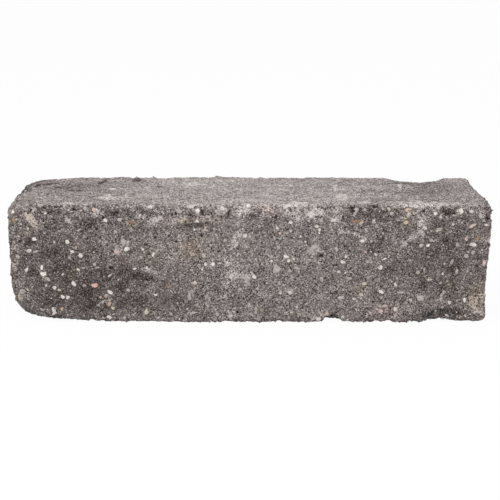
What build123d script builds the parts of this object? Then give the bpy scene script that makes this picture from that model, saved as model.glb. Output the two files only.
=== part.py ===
from build123d import *
from math import sqrt
import os

os.makedirs("parts", exist_ok=True)

# Tumbled concrete sleeper block: one solid casting, long and low. Tumbling wore its arrises
# unevenly, knocked its corners off, broke shell-shaped chips out of its edges and left
# shallow hollows in its faces.
# X runs along the block, Y from the front face to the back one, Z up.
# The origin is the middle of the bed face, on which the block lies.

# Size of the block between its flat faces
length = 590.0
depth = 180.0
height = 150.0

# Wear of each arris: how far the worn strip reaches in over both its faces, at evenly
# spaced stations from left to right, from front to back or from bottom to top
top_front_wear = (10, 8, 6, 4, 4, 7, 6, 3, 4, 7, 5, 4, 9, 11, 6, 5, 9)
top_back_wear = (36, 18, 8, 7, 4, 6, 5, 3, 5, 8, 9, 7, 11, 8, 11, 13, 10)
bottom_front_wear = (34, 26, 15, 9, 6, 8, 6, 4, 4, 6, 4, 5, 3, 3, 7, 9, 11)
bottom_back_wear = (8, 9, 6, 4, 9, 7, 5, 8, 7, 5, 4, 7, 8, 5, 6, 11, 10)
top_left_wear = (8, 9, 6, 7, 10, 17)
top_right_wear = (8, 5, 6, 10, 8, 10)
bottom_left_wear = (22, 15, 9, 5, 7, 8)
bottom_right_wear = (10, 8, 7, 4, 6, 8)
front_left_wear = (16, 9, 4, 6, 7)
front_right_wear = (12, 9, 7, 4, 4)
back_left_wear = (9, 5, 8, 6, 10)
back_right_wear = (7, 9, 6, 5, 8)

# Where the worn surface bends, near each of its two faces, as shares of the wear along
# that face and in from it
bend_along = 0.55
bend_in = 0.20
# How nearly flat the break at a knocked-off corner is
break_flatness = 2.0
# How far a cutting form stands past the block, so that it cuts right through
overcut = 5.0

# Directions, each also the outward side of the face that lies that way
RIGHT, BACK, TOP = Vector(1, 0, 0), Vector(0, 1, 0), Vector(0, 0, 1)
LEFT, FRONT, BED = -RIGHT, -BACK, -TOP


def block_point(*ways):
    """Point of the unworn block: its middle, moved half its size along each of the ways."""
    way = sum(ways, Vector(0, 0, 0))
    return Vector(way.X * length / 2, way.Y * depth / 2, (1 + way.Z) * height / 2)


class Arris:
    """Edge where two faces meet: x runs in over the first face, y over the second, z along."""

    def __init__(self, first, second):
        along = second.cross(first)
        self.frame = Plane(block_point(first, second), x_dir=-second, z_dir=along)
        self.outward = first + second
        self.run = along.dot(Vector(length, depth, height))


top_front = Arris(FRONT, TOP)
top_back = Arris(TOP, BACK)
bottom_front = Arris(BED, FRONT)
bottom_back = Arris(BACK, BED)
top_left = Arris(TOP, LEFT)
top_right = Arris(RIGHT, TOP)
bottom_left = Arris(LEFT, BED)
bottom_right = Arris(BED, RIGHT)
front_left = Arris(FRONT, LEFT)
front_right = Arris(RIGHT, FRONT)
back_left = Arris(LEFT, BACK)
back_right = Arris(BACK, RIGHT)

WORN_ARRISES = (
    (top_front, top_front_wear),
    (top_back, top_back_wear),
    (bottom_front, bottom_front_wear),
    (bottom_back, bottom_back_wear),
    (top_left, top_left_wear),
    (top_right, top_right_wear),
    (bottom_left, bottom_left_wear),
    (bottom_right, bottom_right_wear),
    (front_left, front_left_wear),
    (front_right, front_right_wear),
    (back_left, back_left_wear),
    (back_right, back_right_wear),
)

# Chips: the arris, and for each chip its middle as a share of the arris's run, its length
# along the arris, and how far it reaches over the first and over the second face
CHIPS = (
    (top_front, (
        (0.07, 20, 4, 6),
        (0.145, 26, 6, 7),
        (0.24, 22, 4, 7),
        (0.33, 18, 4, 5),
        (0.42, 26, 5, 7),
        (0.52, 20, 4, 5),
        (0.61, 22, 6, 5),
        (0.735, 52, 9, 8),
        (0.83, 24, 5, 7),
        (0.92, 22, 6, 6),
    )),
    (bottom_front, (
        (0.21, 26, 8, 6),
        (0.34, 20, 5, 6),
        (0.46, 24, 6, 5),
        (0.56, 20, 5, 6),
        # Notch right of the middle
        (0.672, 21, 15, 10),
        (0.79, 22, 6, 5),
        # Deep shell-shaped spall near the right end
        (0.90, 50, 15, 20),
    )),
    (top_back, (
        (0.19, 24, 6, 6),
        (0.30, 34, 7, 6),
        (0.41, 22, 5, 6),
        (0.53, 24, 5, 5),
        (0.64, 26, 6, 7),
        # Spall that dips the back edge of the top
        (0.876, 84, 38, 14),
    )),
    # Nicks half-way along the short top edges
    (top_left, (
        (0.47, 26, 9, 9),
    )),
    (top_right, (
        (0.58, 25, 9, 9),
    )),
    # Flake off the lower half of the front right edge
    (front_right, (
        (0.30, 112, 24, 5),
        (0.78, 22, 5, 6),
    )),
    (front_left, (
        (0.40, 24, 6, 7),
        (0.66, 20, 7, 5),
    )),
    # Edges away from the front, as the same tumbling leaves them
    (bottom_back, (
        (0.10, 24, 6, 8),
        (0.22, 46, 13, 16),
        (0.36, 22, 6, 7),
        (0.48, 26, 7, 6),
        (0.61, 24, 8, 8),
        (0.73, 22, 5, 7),
        (0.84, 64, 9, 17),
    )),
    (bottom_left, (
        (0.62, 38, 11, 9),
    )),
    (bottom_right, (
        (0.40, 42, 12, 10),
        (0.72, 22, 6, 6),
    )),
    (back_left, (
        (0.42, 52, 8, 15),
    )),
    (back_right, (
        (0.34, 22, 6, 6),
        (0.63, 36, 9, 8),
    )),
)

# Knocked-off corners: the three sides that meet there, and how far the break reaches from
# the corner along the block, across it and up or down it
KNOCKED_CORNERS = (
    (LEFT, FRONT, BED, (72, 66, 58)),
    (RIGHT, FRONT, BED, (16, 18, 22)),
    (LEFT, BACK, TOP, (58, 40, 24)),
    (RIGHT, BACK, TOP, (22, 28, 17)),
    (LEFT, FRONT, TOP, (17, 18, 18)),
    (RIGHT, FRONT, TOP, (9, 16, 13)),
    (LEFT, BACK, BED, (22, 16, 20)),
    (RIGHT, BACK, BED, (18, 26, 15)),
)

# Hollows: the side whose face they lie in, and for each how far its middle lies across and
# up from the face's own middle, as shares of the face, then its width and its depth
HOLLOWS = (
    (FRONT, (
        # Short groove under the left half of the top edge
        (-0.145, 0.32, 15, 1.4),
        (-0.125, 0.33, 16, 1.7),
        (-0.1, 0.32, 14, 1.4),
        (-0.325, 0.32, 24, 1.5),
        (-0.21, 0.29, 24, 1.2),
        (-0.445, 0.21, 20, 1.5),
        (-0.315, -0.05, 24, 1.6),
        (-0.285, -0.09, 22, 1.4),
        (-0.235, -0.12, 22, 1.6),
        (-0.205, -0.11, 16, 1.2),
        (-0.35, -0.23, 22, 1.5),
        (-0.425, -0.27, 26, 1.7),
        (-0.155, -0.32, 24, 1.4),
        (-0.11, -0.31, 18, 1.2),
        (-0.015, -0.23, 20, 1.2),
        (0.01, -0.12, 18, 1.2),
        (0.07, -0.29, 28, 1.4),
        (0.105, 0.28, 28, 1.2),
        (0.145, 0.07, 12, 1.8),
        (0.22, 0.33, 20, 1.4),
        (0.255, 0.13, 26, 1.5),
        (0.29, -0.06, 14, 1.7),
        (0.36, -0.16, 26, 1.5),
        (0.405, 0.20, 24, 1.6),
        (0.42, -0.01, 28, 1.6),
        (0.47, -0.21, 14, 1.6),
    )),
    (BACK, (
        (-0.4, 0.16, 32, 1.6),
        (-0.365, 0.11, 20, 1.3),
        (-0.315, -0.19, 24, 1.5),
        (-0.205, 0.24, 26, 1.4),
        (-0.125, -0.04, 22, 1.6),
        (-0.025, 0.17, 34, 1.5),
        (0.02, 0.20, 20, 1.2),
        (0.06, -0.25, 26, 1.5),
        (0.165, 0.05, 24, 1.5),
        (0.27, -0.16, 30, 1.6),
        (0.3, -0.08, 18, 1.2),
        (0.345, 0.25, 22, 1.4),
        (0.425, 0.03, 28, 1.6),
    )),
    (LEFT, (
        (-0.21, 0.17, 26, 1.6),
        (0.09, 0.04, 28, 1.5),
        (0.245, -0.19, 22, 1.5),
    )),
    (RIGHT, (
        (-0.245, 0.09, 28, 1.6),
        (0.02, -0.17, 26, 1.5),
        (0.21, 0.20, 24, 1.5),
    )),
    (TOP, (
        (-0.375, 0.11, 56, 1.3),
        (-0.29, 0.02, 48, 1.1),
        (0.395, 0, 60, 1.3),
    )),
)


def worn_strip(arris, wears):
    """Form that wears an arris away: its width follows the wear from station to station."""
    start = -arris.run / 2 - overcut
    spacing = (arris.run + 2 * overcut) / (len(wears) - 1)
    with BuildPart() as strip:
        for station, wear in enumerate(wears):
            with BuildSketch(arris.frame.offset(start + station * spacing)):
                with BuildLine():
                    Polyline((wear, 0), (bend_along * wear, bend_in * wear),
                             (bend_in * wear, bend_along * wear), (0, wear),
                             (-overcut, wear + overcut), (-overcut, -overcut),
                             (wear + overcut, -overcut), close=True)
                make_face()
        loft(ruled=True)
    return strip.part


def ball(centre, radius, outward, along):
    """Ball with its seam turned outward, clear of the bite that it takes."""
    with BuildPart() as whole:
        with Locations(Plane(centre, x_dir=outward, z_dir=along)):
            Sphere(radius)
    return whole.part


def chip(arris, place, chip_length, over_first, over_second):
    """Ball that bites a chip of these three reaches out of an arris."""
    half = chip_length / 2
    out_of_second = (half**2 - over_first**2) / (2 * over_first)
    out_of_first = (half**2 - over_second**2) / (2 * over_second)
    centre = Vector(-out_of_second, -out_of_first, (place - 0.5) * arris.run)
    radius = sqrt(half**2 + out_of_first**2 + out_of_second**2)
    return ball(arris.frame.from_local_coords(centre), radius, arris.outward, arris.frame.z_dir)


def hollow(side, across, up, width, sink):
    """Ball that sinks a round hollow of this width and depth into a face."""
    sideways = RIGHT if side == TOP else TOP.cross(side)
    upward = side.cross(sideways)
    radius = (width**2 / 4 + sink**2) / (2 * sink)
    centre = block_point(side, sideways * 2 * across, upward * 2 * up) + side * (radius - sink)
    return ball(centre, radius, side, sideways)


def corner_break(sides, reaches):
    """Form that knocks a corner off, leaving a slightly domed break through three points."""
    corner = block_point(*sides)
    spread = break_flatness * max(reaches) ** 2
    inward = [(spread + reach**2) / (2 * reach) for reach in reaches]
    way = sum(sides, Vector(0, 0, 0))
    centre = corner - Vector(way.X * inward[0], way.Y * inward[1], way.Z * inward[2])
    radius = sqrt(sum(distance**2 for distance in inward) - spread)
    with BuildPart() as knock:
        with Locations(corner):
            Box(*(2 * (reach + overcut) for reach in reaches))
        with Locations(centre):
            Sphere(radius, mode=Mode.SUBTRACT)
    return knock.part


strips = [worn_strip(arris, wears) for arris, wears in WORN_ARRISES]
knocks = [corner_break(sides, reaches) for *sides, reaches in KNOCKED_CORNERS]
chips = [chip(arris, *sizes) for arris, bites in CHIPS for sizes in bites]
hollows = [hollow(side, *sizes) for side, dips in HOLLOWS for sizes in dips]

with BuildPart() as sleeper_block:
    Box(length, depth, height, align=(Align.CENTER, Align.CENTER, Align.MIN))
    for forms in (hollows, strips, knocks, chips):
        add(forms, mode=Mode.SUBTRACT)

sleeper_block.part.label = "sleeper_block"
export_step(sleeper_block.part, "parts/sleeper_block.step")
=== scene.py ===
import math

import bmesh
import bpy
import numpy as np
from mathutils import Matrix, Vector
from mathutils.bvhtree import BVHTree
from mathutils.kdtree import KDTree


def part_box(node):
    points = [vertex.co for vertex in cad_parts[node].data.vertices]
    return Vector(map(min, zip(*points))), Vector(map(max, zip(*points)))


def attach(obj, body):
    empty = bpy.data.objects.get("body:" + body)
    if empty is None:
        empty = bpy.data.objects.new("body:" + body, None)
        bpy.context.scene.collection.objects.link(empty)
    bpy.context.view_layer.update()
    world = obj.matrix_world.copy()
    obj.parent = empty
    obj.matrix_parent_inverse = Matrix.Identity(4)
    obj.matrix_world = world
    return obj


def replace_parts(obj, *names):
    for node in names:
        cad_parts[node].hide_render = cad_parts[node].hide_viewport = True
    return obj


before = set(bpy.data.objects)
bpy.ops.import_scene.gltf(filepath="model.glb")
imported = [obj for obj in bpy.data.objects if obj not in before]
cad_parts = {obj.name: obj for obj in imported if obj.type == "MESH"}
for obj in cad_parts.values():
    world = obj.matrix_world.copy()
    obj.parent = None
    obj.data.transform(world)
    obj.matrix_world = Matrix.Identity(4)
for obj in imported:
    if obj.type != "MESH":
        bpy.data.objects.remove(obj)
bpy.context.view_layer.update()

# A tumbled concrete sleeper block. The solid's shape comes from the frame. This script dresses
# it with a finely broken concrete skin, the stones exposed in it, black slivers laid as painted
# shade, and the grit between them.
# Lengths are in metres. A place marked px is a pixel of the 500 by 500 photograph.

NODE = "sleeper_block"
MM = 0.001

block_low, block_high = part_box(NODE)
LOW = np.array(block_low)
HIGH = np.array(block_high)

# Camera
PHOTO_PX = 500
FOCAL_PX = 1237.0
SENSOR_MM = 36.0
CAMERA_AT = Vector((0.0004, -1.5517, 0.4789))
CAMERA_PITCH = math.radians(14.75)

# Skin: how fine its mesh is, and the room between the sides in its layout for baking
VOXEL = 2.2 * MM
UNWRAP_GAP = 12 * MM

# Relief of the skin: how high it is and how wide its lumps are, over the whole block, on its
# faces and along its arrises
BROAD_RELIEF = 0.45 * MM
BROAD_LUMPS = 70 * MM
FACE_RELIEF = 0.35 * MM
FACE_LUMPS = 15 * MM
ARRIS_RELIEF = 1.2 * MM
ARRIS_LUMPS = 9 * MM
# Height of the grain, from one point of the mesh to the next
GRAIN_RELIEF = 0.18 * MM
# How far the skin is drawn in, so that its relief hardly stands past the solid
DRAWN_IN = 0.3 * MM

# Round pits in the skin, their depth as a share of their radius
PIT_COUNT = 3000
PIT_RADII = (2.6 * MM, 5.5 * MM)
PIT_DEPTH = 0.30

# How far from an arris the surface is broken and crumbly, and crumbs are strewn
BROKEN_REACH = 7 * MM
CRUMBLY_REACH = 15 * MM
CRUMBS_REACH = 2 * MM

# Stones strewn over the skin, as how many and the widths of the smallest and the largest:
# where the photograph doesn't see, where it does, crumbs along the arrises, and grit
UNSEEN_STONES = (620, (3 * MM, 9 * MM))
SEEN_STONES = (230, (2.6 * MM, 6 * MM))
CRUMBS = (320, (1.8 * MM, 3.4 * MM))
GRIT = (2200, (1.1 * MM, 2.8 * MM))
# How far the stones and the grit stand out of the skin
STONES_PROUD = 0.7 * MM
GRIT_PROUD = 0.4 * MM

# Form of a stone: half its depth as a share of its smaller width, the height of its flat top
# as a share of that half, and how much larger it starts than its cuts leave it
HALF_DEPTH = 0.42
FLAT_TOP = 0.4
CUT_ALLOWANCE = 1.26

# Floor: half its width, how far it lies under the block, and the share of plain white in it
# as the camera sees it
FLOOR_HALF = 14.0
FLOOR_DROP = 0.2 * MM
FLOOR_WHITE = 0.96

# Light: the world's colour and strength, and for each lamp its place, width and watts
WORLD_COLOUR = (0.97, 0.98, 1.0, 1)
WORLD_STRENGTH = 0.62
LAMPS = {
    "key": ((-0.7, -0.9, 2.0), 1.1, 26),
    "fill": ((1.1, -1.7, 1.0), 1.2, 9),
}
LAMP_AIM = Vector((0, 0, 0.07))

# Colours on the screen, from 0 to 255
STONE_COLOURS = {
    "white": (226, 218, 212),
    "grey": (181, 173, 168),
    "cream": (198, 189, 175),
    "pink": (208, 186, 177),
    "salmon": (216, 180, 164),
    "tan": (200, 178, 161),
    "orange": (156, 126, 102),
    "dark": (62, 56, 54),
    # Black: dark grit, and slivers laid as painted shade
    "black": (38, 33, 31),
    "paste": (116, 108, 105),
}

# Stones that show on the front and the top, with black slivers among them as painted shade:
# px right, px down, px across, px high, tilt in degrees
STONES_AND_SHADE_SEEN = {
    "white": (
        (45.4, 212.9, 2.6, 2.4, 0), (105, 220.5, 4.2, 3, -30), (34.7, 239.2, 4.8, 4, 10),
        (67.3, 241.4, 5, 4, -10), (72.4, 251.1, 4, 3, 0), (80.4, 255.2, 3.8, 4.2, 40),
        (27.6, 251.3, 2.8, 2.6, 0), (126.6, 248.7, 5.4, 4.0, 20), (43.9, 274.1, 6.4, 5.2, -20),
        (26.7, 269.8, 4.6, 3.8, 40), (55.1, 287.7, 4.8, 3.8, 30), (74, 283.5, 4.2, 5, 20),
        (109.7, 275.6, 4, 2.2, 40), (110.5, 291.9, 6, 3.6, -30), (62.8, 296.8, 6, 3.8, -30),
        (68.4, 297.3, 4.8, 3.8, -10), (109, 317.4, 5, 2.4, -8), (54.6, 310.6, 4.6, 2.6, 10),
        (18.9, 236.3, 1.8, 1.8, 0), (41.8, 267.4, 2.8, 4.4, 0), (54.3, 242.4, 1.5, 3, 0),
        (143.3, 249.4, 2.8, 2.8, 0), (153.2, 254.7, 2.2, 3.6, -20), (146.7, 267.4, 2.8, 2.8, 0),
        (134.8, 268.8, 3.6, 2.6, 0), (155.7, 294.8, 3, 2.4, -20), (205.5, 264.4, 3.8, 3.2, -15),
        (213.4, 263.9, 3.6, 3.8, 0), (194.5, 229.5, 2, 2, 0), (222, 208.6, 4.4, 3.8, 0),
        (197.5, 210.8, 4.6, 4.2, 20), (196.5, 221.5, 3.8, 2.2, 0), (187.3, 308.8, 1.8, 1.8, 0),
        (244.8, 235.3, 4.2, 3.8, 0), (249.4, 236.9, 2.6, 2.6, 0), (231.2, 315.4, 4.8, 3.6, -30),
        (290, 222.6, 4.2, 2.8, 0), (277.2, 227.7, 2.6, 2.4, 0), (316.5, 226.4, 3.6, 3, -20),
        (319.3, 229.4, 3.2, 3.4, 0), (333.4, 220.5, 4.8, 3.8, -10), (305.6, 242, 1.8, 1.8, 0),
        (285.9, 256.5, 5.4, 2.8, -8), (288.5, 261.1, 3, 2.6, 0), (271.1, 260.8, 3, 2.6, 0),
        (363, 241.4, 4.6, 3.4, -30), (346.1, 256.7, 2.4, 2.4, 0), (343, 262.3, 4.8, 3.6, -20),
        (338, 271.3, 4.8, 2, -25), (254.3, 277.1, 3.4, 5, 30), (289.5, 291.4, 5.2, 3.4, -20),
        (341, 297.3, 5.4, 2.4, 5), (353.8, 299.1, 3.6, 2.6, -10), (318.6, 319, 4.4, 3, 0),
        (461.2, 210.6, 5, 5.6, -10), (471.2, 211.6, 3.6, 3, -10), (486.5, 225.1, 3.4, 2.8, 30),
        (424.5, 228, 4.4, 3.6, -30), (427.6, 245.5, 3.8, 3.4, 0), (472.4, 244.7, 6.8, 3.6, -3),
        (376.3, 254.7, 2.8, 2.6, -30), (384.5, 259, 4, 1.6, 20), (379.9, 267.4, 4.6, 4.6, 0),
        (395.4, 284.8, 2.8, 2.6, 0), (381.4, 291.9, 5.2, 3.2, -15), (449.3, 302.1, 3.6, 3.8, 0),
        (464.6, 300.1, 2.8, 3.8, 20), (395.2, 308.8, 3.6, 4.4, 0), (446.2, 314.9, 5.6, 1.8, -30),
        (489, 241.9, 3.6, 4.6, 20), (290.5, 186, 4.6, 1.4, 0), (301.7, 185.3, 2.4, 1, 0),
        (112.8, 189.2, 6, 1.3, 3), (354.8, 233.8, 2.2, 2.2, 0), (46, 285.3, 2.2, 2.8, 0),
        (300.7, 236.3, 1.8, 1.8, 0), (442.7, 273.6, 1.8, 2.4, 0), (248.6, 206, 3.6, 2.6, 0),
    ),
    "grey": (
        (32.7, 210.8, 2.4, 3, 0), (66.3, 231.2, 2.6, 2.2, -30), (58.7, 230.7, 2, 2, 0),
        (79, 230.2, 5, 2, 30), (35.7, 251.6, 5.6, 2.8, 30), (123, 241.6, 6.4, 5.4, 0),
        (115.3, 231.7, 3.6, 2.8, 0), (119.9, 220, 5, 3.6, 0), (103.6, 231.7, 3, 2.6, 0),
        (84.7, 285.3, 3.8, 2.6, 20), (106.1, 296, 3, 4, -20), (22, 292.4, 6.4, 4.6, 20),
        (103, 318, 3, 2.4, 0), (157.2, 250.6, 2.4, 3.4, -20), (128.2, 289.9, 3.6, 3.4, 0),
        (179.2, 210.8, 5.6, 3.8, -15), (136.3, 217.4, 3.8, 3, 0), (160.8, 218, 6, 6, 0),
        (213.4, 240.4, 4.8, 3.6, 10), (205.7, 230.2, 4.4, 3.6, -20), (192, 291.4, 5, 3.6, 30),
        (189.4, 297.6, 3, 4, 0), (192.4, 312.9, 6, 3.6, 20), (225, 296, 3.6, 3.6, 0),
        (217.4, 314.9, 3, 4, 0), (206.7, 296.5, 3.6, 3.2, 0), (239.9, 289.2, 4, 2.8, 0),
        (245, 278.2, 4.4, 4.4, 0), (291, 230.7, 3.4, 2.8, 0), (287.4, 232.8, 2.8, 2.6, 0),
        (332.3, 230.2, 4, 3, 0), (355.3, 211.8, 4.6, 4.6, -40), (313.5, 247.5, 5.6, 4, 20),
        (278.8, 247.5, 4, 3.6, 0), (271.6, 256.7, 3.8, 3, 0), (276.2, 270, 8.6, 7, 25),
        (321.6, 251.6, 6, 2, 0), (336.4, 248.6, 3, 5, 20), (297.7, 268.5, 4.8, 2.4, 0),
        (292, 278.2, 3, 4.6, 0), (321.6, 279.2, 4.6, 4.6, 0), (349.2, 278.7, 4.8, 3, -20),
        (247.7, 283.8, 5, 3.6, 20), (480.4, 215.9, 3.6, 4.6, 0), (439.6, 229.2, 6.4, 3.4, 10),
        (404.9, 243, 4, 3.8, 0), (421.2, 245.5, 4, 3.6, -20), (432, 240.4, 5.6, 2.6, -10),
        (472.8, 252.1, 4.8, 4.6, 0), (457.4, 245, 3, 5, 20), (466.1, 255.7, 6, 3.4, -15),
        (452.3, 261.8, 3.2, 5.6, -25), (367.7, 261.8, 4.4, 3.4, 0), (401.8, 292.2, 8.4, 2.6, 0),
        (443.7, 292.4, 3.8, 3.6, -30), (441.6, 300.6, 3, 2, 0), (420.7, 298.6, 5.6, 5.4, 0),
        (384.5, 305.7, 6.6, 2.8, -10), (373.3, 221, 3.4, 5.4, 0), (490.6, 230, 2.6, 4, 0),
        (417.1, 272.6, 4.8, 3.4, 20), (440.6, 283.3, 2.6, 2.6, 0), (366, 229, 2.8, 2.6, 0),
        (462, 222.5, 2.6, 2.4, 0), (333, 317.4, 3, 2.4, 0), (98.5, 305, 3, 2.4, 0),
        (218, 212.9, 5, 5, 20),
    ),
    "cream": (
        (28, 228.7, 3.4, 3, 0), (48, 279.7, 6, 4.4, -20), (19.9, 297.6, 4, 3.4, 0),
        (113.3, 308.3, 4, 3, -20), (147, 312.3, 4.6, 4.8, 0), (203.7, 255.2, 3, 4, -15),
        (280.3, 293.3, 3.8, 2.4, 10), (364, 283.8, 5, 2.6, 10),
        (361.4, 294.5, 4.6, 3.6, 0), (429.4, 280, 6, 3, 20),
    ),
    "pink": (
        (116.8, 251.9, 5, 4.8, 0), (93.4, 209.8, 4, 4.4, 0), (327.2, 313.9, 3.6, 4.4, 0),
        (466, 238.9, 2.8, 3.8, 0), (380.9, 311.3, 4, 2.6, 20), (484, 262, 3, 6, 5),
    ),
    "salmon": ((94, 285.5, 6.4, 4.8, -8),),
    "tan": (
        (61.7, 308.3, 2.8, 4, 0), (109.5, 303.7, 3.6, 5, 0), (406.4, 222, 5.8, 4, 20),
        (408, 209.8, 7, 2.4, 0), (472.8, 225.9, 6.8, 3, 20), (362, 222.5, 3, 2.8, 0),
    ),
    "orange": (
        (131.7, 222, 4.6, 3.8, 0), (356.3, 221.5, 6.2, 3.6, 5), (478.4, 237.9, 3.8, 2.8, 0),
        (13.3, 221, 3.6, 3, 0), (167, 285.3, 2.6, 2.6, 0),
    ),
    # Black: mostly painted shade, slivers laid in the dents, in crevices under the top front arris, in
    # cracks on the top and in the chip low at the right, with some dark stones among them
    "black": (
        (175.8, 241.3, 3.2, 2, -25), (145.3, 244.8, 5, 1.4, 20), (168.7, 235.8, 2.4, 1.8, 0),
        (201.7, 235.5, 4.2, 2, 0), (218.4, 251, 3, 2, -30), (238.3, 297.8, 2.4, 2.2, 0),
        (237.5, 312.4, 2.8, 2.6, 0), (320.3, 255.8, 4.6, 2.6, 0), (277.5, 239.6, 3.4, 1.8, -10),
        (204, 318.2, 4, 2.4, 0), (155.2, 237.2, 2.4, 1.6, 0), (211.4, 248.4, 1.8, 1.8, 0),
        (110.8, 267.7, 4, 3, 0), (97, 228.8, 3.4, 3, 0), (103.4, 217.4, 2.6, 2.4, 0),
        (19.6, 241.6, 3, 2.4, 0), (87.4, 238.6, 2, 1.8, 0), (44, 208, 4, 2, 0),
        (31, 209.6, 3.4, 2.2, 0), (74, 209.2, 6, 1.6, 0), (130.6, 217, 2.6, 2.4, 0),
        (175.6, 213.6, 2.4, 3.2, 0), (190.4, 214.6, 2.2, 3.4, 10), (202.4, 212.6, 2.2, 3.4, -10),
        (228.6, 213.6, 2.2, 3, 0), (353.4, 211, 3.4, 2.4, 0), (369.4, 209.4, 3, 2.6, 0),
        (374.6, 207, 5, 1.4, 0), (424.4, 210.6, 6, 1.6, 20), (454.4, 213.4, 2.6, 2.2, 0),
        (447, 240.6, 3, 2.4, 0), (382.6, 238.4, 2, 4, 0), (378.4, 251.4, 2.6, 2.4, 0),
        (428.6, 313.8, 8, 1.6, 25), (476.8, 266, 2.8, 2, 0), (291, 268.6, 2, 1.8, 0),
        (344.6, 246.4, 1.8, 1.8, 0), (349.8, 291.6, 1.8, 1.8, 0), (262.6, 300.4, 2, 1.8, 0),
        (136.4, 179.2, 7, 0.8, -4), (103.4, 182, 5, 0.8, 12), (49.4, 184, 7, 0.8, 8),
        (78.6, 190.2, 4, 0.8, 0), (26.4, 189.4, 3.4, 1.2, 20),
    ),
}

# How many of each colour there are, against one another, among the strewn stones
UNSEEN_MIX = {
    "white": 28, "grey": 50, "cream": 9, "pink": 4, "tan": 4, "orange": 3, "salmon": 1, "dark": 3,
}
SEEN_MIX = {"white": 14, "grey": 60, "cream": 10, "pink": 6, "tan": 2, "dark": 8}
CRUMB_MIX = {"paste": 60, "dark": 25, "grey": 15}
GRIT_MIX = {
    "white": 24, "grey": 38, "cream": 6, "pink": 3, "tan": 2, "orange": 1, "dark": 12, "black": 14,
}

# Patches of the skin, read off the photograph: px right, px down, px across, px high,
# tilt in degrees and share
# Some dark areas are painted shade: the line at px 148 to 191 and 227 to 230 is a painted shadow under
# the band, and those at px 431, 313 and 458, 312 are painted shade in the chip low at the right
DARK_AREAS = (
    (29, 240, 14, 8, 15, 1.0), (53, 213, 20, 11, 0, 0.6), (27, 259, 14, 10, 0, 0.7),
    (52, 254, 22, 14, 30, 0.65), (31, 270, 12, 12, 0, 0.7), (91, 226, 20, 7, -5, 0.8),
    (62, 268, 26, 14, 0, 0.55), (105, 274, 20, 14, 0, 1.0), (125, 271, 14, 12, 0, 0.9),
    (143, 278, 32, 6, -12, 0.9), (66, 281, 10, 10, 0, 0.7), (86, 290, 16, 12, 30, 0.8),
    (121, 286, 16, 14, 0, 0.6), (50, 301, 26, 12, 0, 0.8), (33, 293, 12, 8, 0, 0.7),
    (90, 306, 22, 14, 0, 0.6), (132, 302, 26, 16, 0, 0.55), (114, 214, 16, 8, 0, 0.6),
    (128, 211, 10, 6, 0, 0.5), (191, 227, 34, 5, 0, 0.9), (148, 230, 26, 7, 0, 0.55),
    (201, 285, 14, 7, 0, 0.55), (200, 315, 20, 6, 0, 0.6), (166, 286, 16, 9, 0, 0.5),
    (183, 303, 34, 14, 0, 0.45), (175, 274, 20, 10, 0, 0.35), (247, 250, 16, 14, 0, 0.35),
    (256, 283, 26, 8, 60, 0.4), (252, 229, 24, 12, 0, 0.35), (292, 232, 34, 10, 0, 0.35),
    (282, 303, 26, 10, 0, 0.3), (310, 305, 22, 12, 0, 0.25), (355, 213, 14, 9, 0, 0.8),
    (376, 211, 16, 10, 0, 0.7), (395, 215, 12, 8, 0, 0.5), (352, 246, 22, 12, 0, 0.5),
    (372, 249, 16, 12, 0, 0.75), (381, 241, 6, 20, 0, 0.8), (326, 249, 10, 16, 0, 0.55),
    (389, 270, 16, 14, 0, 0.7), (381, 262, 8, 8, 0, 0.5), (411, 260, 20, 20, 0, 0.4),
    (447, 242, 12, 14, 0, 1.0), (431, 255, 18, 16, 0, 0.7), (452, 267, 26, 22, -50, 0.7),
    (423, 284, 12, 20, 0, 0.75), (446, 288, 22, 18, 0, 0.65), (431, 313, 24, 6, 10, 1.0),
    (458, 312, 14, 8, 0, 0.9), (450, 212, 11, 8, 0, 0.8), (462, 224, 20, 12, 0, 0.5),
    (479, 263, 10, 24, 0, 0.6), (440, 231, 10, 12, 0, 0.4), (366, 226, 14, 8, 0, 0.3),
    (90, 188, 110, 16, 0, 0.5), (372, 191, 26, 5, 0, 0.6), (430, 190, 76, 14, 0, 0.45),
    (388, 188, 14, 6, 0, 0.5), (130, 180, 40, 5, 0, 0.3), (30, 197, 20, 8, 0, 0.3),
)
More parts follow.
